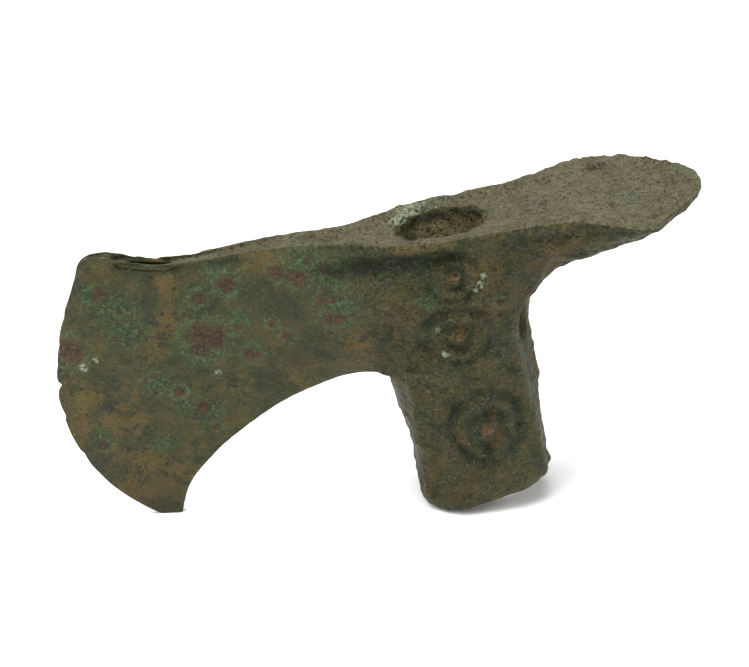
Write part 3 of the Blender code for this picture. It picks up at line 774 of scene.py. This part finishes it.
OCHRE = tone(0.172, 0.112, 0.026)
RUST = tone(0.150, 0.070, 0.022)
TEAL = tone(0.011, 0.026, 0.016)
EDGE_BROWN = tone(0.070, 0.042, 0.022)
GREEN = tone(0.032, 0.080, 0.032)
DARK_GREEN = tone(0.012, 0.026, 0.012)
VERDIGRIS = tone(0.115, 0.225, 0.095)
HALO_GREEN = tone(0.078, 0.170, 0.070)
RED = tone(0.080, 0.026, 0.019)
DARK_RED = tone(0.034, 0.014, 0.011)
# Dark green hollows: patina in ring grooves, painted shade in the mouth groove, ridge fold and slit
HOLLOW_GREEN_AND_SHADE = tone(0.011, 0.026, 0.021)
COPPER = tone(0.200, 0.094, 0.036)
SAND = tone(0.270, 0.250, 0.130)
UMBER = tone(0.118, 0.060, 0.024)
MOSS = tone(0.026, 0.056, 0.026)
# Pale tone of up-facing faces: dust, and painted light from above
DUST_AND_TOP_LIGHT = tone(0.345, 0.305, 0.190)
CLAY = tone(0.230, 0.160, 0.075)
GRIME = tone(0.046, 0.052, 0.032)
FLECK_GREEN = tone(0.150, 0.215, 0.130)
CLEFT_BROWN = tone(0.100, 0.098, 0.062)
TOP_GREEN = tone(0.120, 0.200, 0.115)
# Soil in the hole, made lighter as painted light on the hole's far wall
SOIL_AND_HOLE_LIGHT = tone(0.400, 0.345, 0.160)
PALE_CRUST = tone(0.360, 0.440, 0.300)
# Near black painted shade down the slit under the adze
CREVICE_SHADE = tone(0.008, 0.008, 0.007)
DARK_GRAIN = tone(0.010, 0.012, 0.008)
LIGHT_GRAIN = tone(0.240, 0.215, 0.115)
SPARK = tone(0.420, 0.460, 0.320)
SHEEN_TINT = tone(1.0, 0.92, 0.68)

# The bare patina from dark hollows to worn ochre, over mixed noise
BASE_STOPS = (
    (0.40, (0.012, 0.018, 0.012)),
    (0.455, (0.029, 0.037, 0.017)),
    (0.50, (0.055, 0.057, 0.021)),
    (0.55, (0.090, 0.078, 0.022)),
    (0.61, (0.142, 0.104, 0.026)),
)


def patina():
    """Olive-brown bronze with ochre and teal clouds, green crusts round dark red spots, pale grains
    in the ornaments, dark green hollows that are partly painted shade, painted shade down the slit,
    soil in the hole lightened as painted light, and a top lighter by dust and by painted light.
    Each layer lies over the last by its own mask, which is an attribute of the skin plus noise, cut
    off by an S-shaped rise."""
    material = bpy.data.materials.new("patinated_bronze_skin")
    material.use_nodes = True
    tree = material.node_tree
    shader = tree.nodes["Principled BSDF"]
    start = Value(tree)
    place = start.node("ShaderNodeTexCoord", output="Object")

    def noise(scale, detail=4, roughness=0.55, warp=0.0):
        inputs = {
            "Vector": place,
            "Scale": scale,
            "Detail": detail,
            "Roughness": roughness,
            "Distortion": warp,
        }
        return start.node("ShaderNodeTexNoise", (), inputs, "Fac")

    def cells(scale):
        inputs = {"Vector": place, "Scale": scale}
        return start.node("ShaderNodeTexVoronoi", (), inputs, "Distance")

    def mask(name):
        return start.node("ShaderNodeAttribute", {"attribute_name": name}, (), "Fac")

    broad = noise(42, 5, 0.60, 0.8)
    drift = noise(105, 6, 0.66, 1.0)
    mottle = noise(310, 6, 0.70, 0.6)
    speck = noise(900, 4, 0.72, 0.3)
    grit = noise(2300, 3, 0.65)
    stain = noise(70, 5, 0.62, 1.2)
    curl = noise(260, 3, 0.55, 3.2) - 0.5
    wires = 1 - (curl * curl * 420).between(0.0, 1.0)
    ragged = (drift - 0.5) * 1.5 + (mottle - 0.5) * 1.9 + (speck - 0.5) * 1.3

    tint = broad * 0.28 + drift * 0.34 + mottle * 0.38
    base = tint.node("ShaderNodeValToRGB", {"stops": BASE_STOPS}, {"Fac": tint}, "Color")
    ochre = (mask("ochre") * 0.55 + (stain - 0.5) * 1.5 + ragged * 0.8).between(0.02, 0.66)
    colour = base.blend(OCHRE, ochre * 0.68)
    rust = ochre * (mottle * 0.6 + speck * 0.4).between(0.54, 0.62)
    colour = colour.blend(RUST, rust * 0.50)
    teal = (mask("teal") * 0.65 + (broad - 0.5) * 1.7 + ragged * 0.8).between(0.08, 0.66)
    colour = colour.blend(TEAL, teal * 0.66)
    colour = colour.blend(EDGE_BROWN, mask("edge") * drift.between(0.42, 0.58) * 0.65)

    # Green crusts with wiry verdigris
    green = (mask("green") * 0.80 + ragged * 0.95).between(0.06, 0.74)
    colour = colour.blend(GREEN, green * 0.72)
    colour = colour.blend(DARK_GREEN, green * (1 - wires) * mottle.between(0.40, 0.56) * 0.45)
    verdigris = green * (wires * 0.55 + speck.between(0.42, 0.60) * 0.45).between(0.45, 0.80)
    colour = colour.blend(VERDIGRIS, verdigris * 0.86)

    # Dark red spots in a green halo
    red_field = mask("red") + (mottle - 0.5) * 2.0 + (speck - 0.5) * 1.2
    halo = red_field.between(-0.35, 0.05) * (1 - red_field.between(0.12, 0.30))
    halo = halo * (drift * 0.45 + speck * 0.55).between(0.45, 0.58)
    colour = colour.blend(HALO_GREEN, halo * 0.74)
    red = red_field.between(0.14, 0.50)
    red_tone = base.blend(RED, 0.78)
    red_tone = red_tone.blend(DARK_RED, 1 - speck.between(0.42, 0.56))
    colour = colour.blend(red_tone, red * 0.92)

    # Grooves, bosses and the grains on what stands proud
    # Dark green in the hollows, partly patina and partly painted shade
    hollow = mask("hollow") * (mottle * 0.5 + speck * 0.5).between(0.38, 0.54)
    colour = colour.blend(HOLLOW_GREEN_AND_SHADE, hollow * 0.78)
    copper = (mask("copper") + (mottle - 0.5) * 0.9 + (speck - 0.5) * 0.9).between(0.12, 0.70)
    colour = colour.blend(COPPER, copper * 0.70)
    grains = (1 - cells(700).between(0.14, 0.36)) * speck.between(0.48, 0.58)
    coarse = mask("coarse")
    crust = mask("proud") * 0.9 + mask("bore") * 0.5 + coarse * 0.35 + (stain - 0.5) * 1.6
    crust = crust.between(0.10, 0.90)
    colour = colour.blend(SAND, grains * crust * 0.85)

    umber = coarse * (1 - red) * drift.between(0.50, 0.60) * mottle.between(0.44, 0.56)
    colour = colour.blend(UMBER, umber * 0.62)
    moss = coarse * (1 - red) * (broad * 0.5 + mottle * 0.5).between(0.49, 0.58)
    colour = colour.blend(MOSS, moss * 0.34)

    # The top, lighter by dust and by painted light from above on up-facing faces
    upward = mask("upward")
    dust_and_top_light = upward * (drift * 0.4 + mottle * 0.3 + speck * 0.3).between(0.30, 0.55)
    colour = colour.blend(DUST_AND_TOP_LIGHT, dust_and_top_light * 0.64)
    clay = upward * mottle.between(0.50, 0.60)
    colour = colour.blend(CLAY, clay * 0.50)
    grime = upward * (mottle * 0.3 + speck * 0.7).between(0.51, 0.60)
    colour = colour.blend(GRIME, grime * 0.60)
    flecks = upward * wires * drift.between(0.44, 0.58)
    colour = colour.blend(FLECK_GREEN, flecks * 0.36)
    clefts = upward * (1 - wires) * mottle.between(0.44, 0.56)
    colour = colour.blend(CLEFT_BROWN, clefts * 0.52)
    top_green = upward * green * speck.between(0.44, 0.56)
    colour = colour.blend(TOP_GREEN, top_green * 0.60)

    # Soil in the hole, lightened as painted light on its far wall, and pale crusts
    soil_and_hole_light = mask("bore") * (speck * 0.6 + mottle * 0.4).between(0.38, 0.52)
    colour = colour.blend(SOIL_AND_HOLE_LIGHT, soil_and_hole_light * 0.80)
    pale = (mask("pale") * 0.8 + (mottle - 0.5) * 2.2 + (speck - 0.5) * 2.2).between(0.20, 0.70)
    pale = pale * (speck * 0.6 + mottle * 0.4).between(0.46, 0.54)
    colour = colour.blend(PALE_CRUST, pale * 0.90)

    # Painted shade down the slit under the adze, and dark and light grains
    across = mask("crack_side")
    crack = mask("crack") * (1 - (across * across).between(0.3, 1.2))
    colour = colour.blend(CREVICE_SHADE, crack.between(0.15, 0.60) * 0.95)
    dark_grain = 1 - (speck * 0.55 + grit * 0.45).between(0.41, 0.51)
    colour = colour.blend(DARK_GRAIN, dark_grain * coarse * 0.78)
    light_grain = (speck * 0.45 + grit * 0.55).between(0.535, 0.62)
    colour = colour.blend(LIGHT_GRAIN, light_grain * coarse * 0.52)
    sparks = (1 - cells(1100).between(0.05, 0.20)) * mottle.between(0.52, 0.60)
    colour = colour.blend(SPARK, sparks * 0.70)
    tree.links.new(colour.socket, shader.inputs["Base Color"])

    shine = 0.46 + (mottle - 0.5) * 0.9 + (speck - 0.5) * 0.8 + green * 0.12 - red * 0.10
    tree.links.new(shine.socket, shader.inputs["Roughness"])
    shader.inputs["Metallic"].default_value = 0.10
    shader.inputs["Specular IOR Level"].default_value = 0.32
    shader.inputs["Specular Tint"].default_value = SHEEN_TINT

    pits = (1 - cells(560).between(0.0, 0.34)) * drift.between(0.46, 0.58)
    lively = 0.55 + coarse * 0.75
    relief = drift * 0.6 + (mottle * 1.7 + speck * 1.5 + grit * 0.6) * lively - pits * 0.4
    relief = relief + grains * crust * 0.35 - red * 0.12 + verdigris * 0.16 + wires * green * 0.10
    relief = relief - crack * 0.8 + wires * upward * 0.12
    inputs = {"Strength": 1.0, "Distance": BUMP_HEIGHT, "Height": relief}
    bump = relief.node("ShaderNodeBump", (), inputs)
    tree.links.new(bump.socket, shader.inputs["Normal"])
    return material


# Studio

CAMERA_AZIMUTH = math.radians(-8)
CAMERA_ELEVATION = math.radians(31)
CAMERA_DISTANCE = 0.64
CAMERA_TARGET = Vector((0.0017, 0.0194, 0.0487))
FOCAL_PIXELS = 2000
PICTURE_WIDTH = 749
SKY_STRENGTH = 0.34
FLOOR_TONE = tone(0.97, 0.97, 0.965)
FLOOR_HALF = 3
LAMP_AIM = Vector((0, 0, 0.05))
# Each lamp's name, place, size and watts
LAMPS = (
    ("overhead", (-0.25, -0.05, 1.10), 0.8, 25.0),
    ("left", (-0.70, -0.55, 0.90), 0.5, 4.0),
    ("right", (1.1, 0.1, 0.5), 0.6, 6.0),
)


def studio():
    """A pale floor under a white sky, with a broad lamp overhead and weaker ones at left and right,
    and the camera at the photograph's angle."""
    corners = FLOOR_HALF * np.array(((-1, -1), (1, -1), (1, 1), (-1, 1)), float)
    mesh = bpy.data.meshes.new("floor")
    mesh.from_pydata([(x, y, 0.0) for x, y in corners], [], [(0, 1, 2, 3)])
    floor = bpy.data.objects.new("floor", mesh)
    bpy.context.scene.collection.objects.link(floor)
    white = bpy.data.materials.new("floor_white")
    white.use_nodes = True
    shader = white.node_tree.nodes["Principled BSDF"]
    shader.inputs["Base Color"].default_value = FLOOR_TONE
    shader.inputs["Roughness"].default_value = 0.9
    shader.inputs["Specular IOR Level"].default_value = 0.1
    mesh.materials.append(white)

    world = bpy.data.worlds.new("white_sky")
    world.use_nodes = True
    sky = world.node_tree.nodes["Background"]
    sky.inputs["Color"].default_value = (1, 1, 1, 1)
    sky.inputs["Strength"].default_value = SKY_STRENGTH
    bpy.context.scene.world = world

    for name, place, size, power in LAMPS:
        lamp = bpy.data.lights.new(name, "AREA")
        lamp.size = size
        lamp.energy = power
        shown = bpy.data.objects.new(name, lamp)
        shown.location = place
        aim = LAMP_AIM - Vector(place)
        shown.rotation_euler = aim.to_track_quat("-Z", "Y").to_euler()
        bpy.context.scene.collection.objects.link(shown)

    a, e = CAMERA_AZIMUTH, CAMERA_ELEVATION
    back = Vector((math.sin(a) * math.cos(e), -math.cos(a) * math.cos(e), math.sin(e)))
    lens = bpy.data.cameras.new("camera")
    lens.sensor_width = 36
    lens.lens = FOCAL_PIXELS / PICTURE_WIDTH * lens.sensor_width
    lens.clip_start = 0.01
    camera = bpy.data.objects.new("camera", lens)
    camera.location = CAMERA_TARGET + back * CAMERA_DISTANCE
    camera.rotation_euler = (-back).to_track_quat("-Z", "Y").to_euler()
    bpy.context.scene.collection.objects.link(camera)
    bpy.context.scene.camera = camera
    bpy.context.scene.view_settings.view_transform = "Standard"


bronze_skin()
studio()
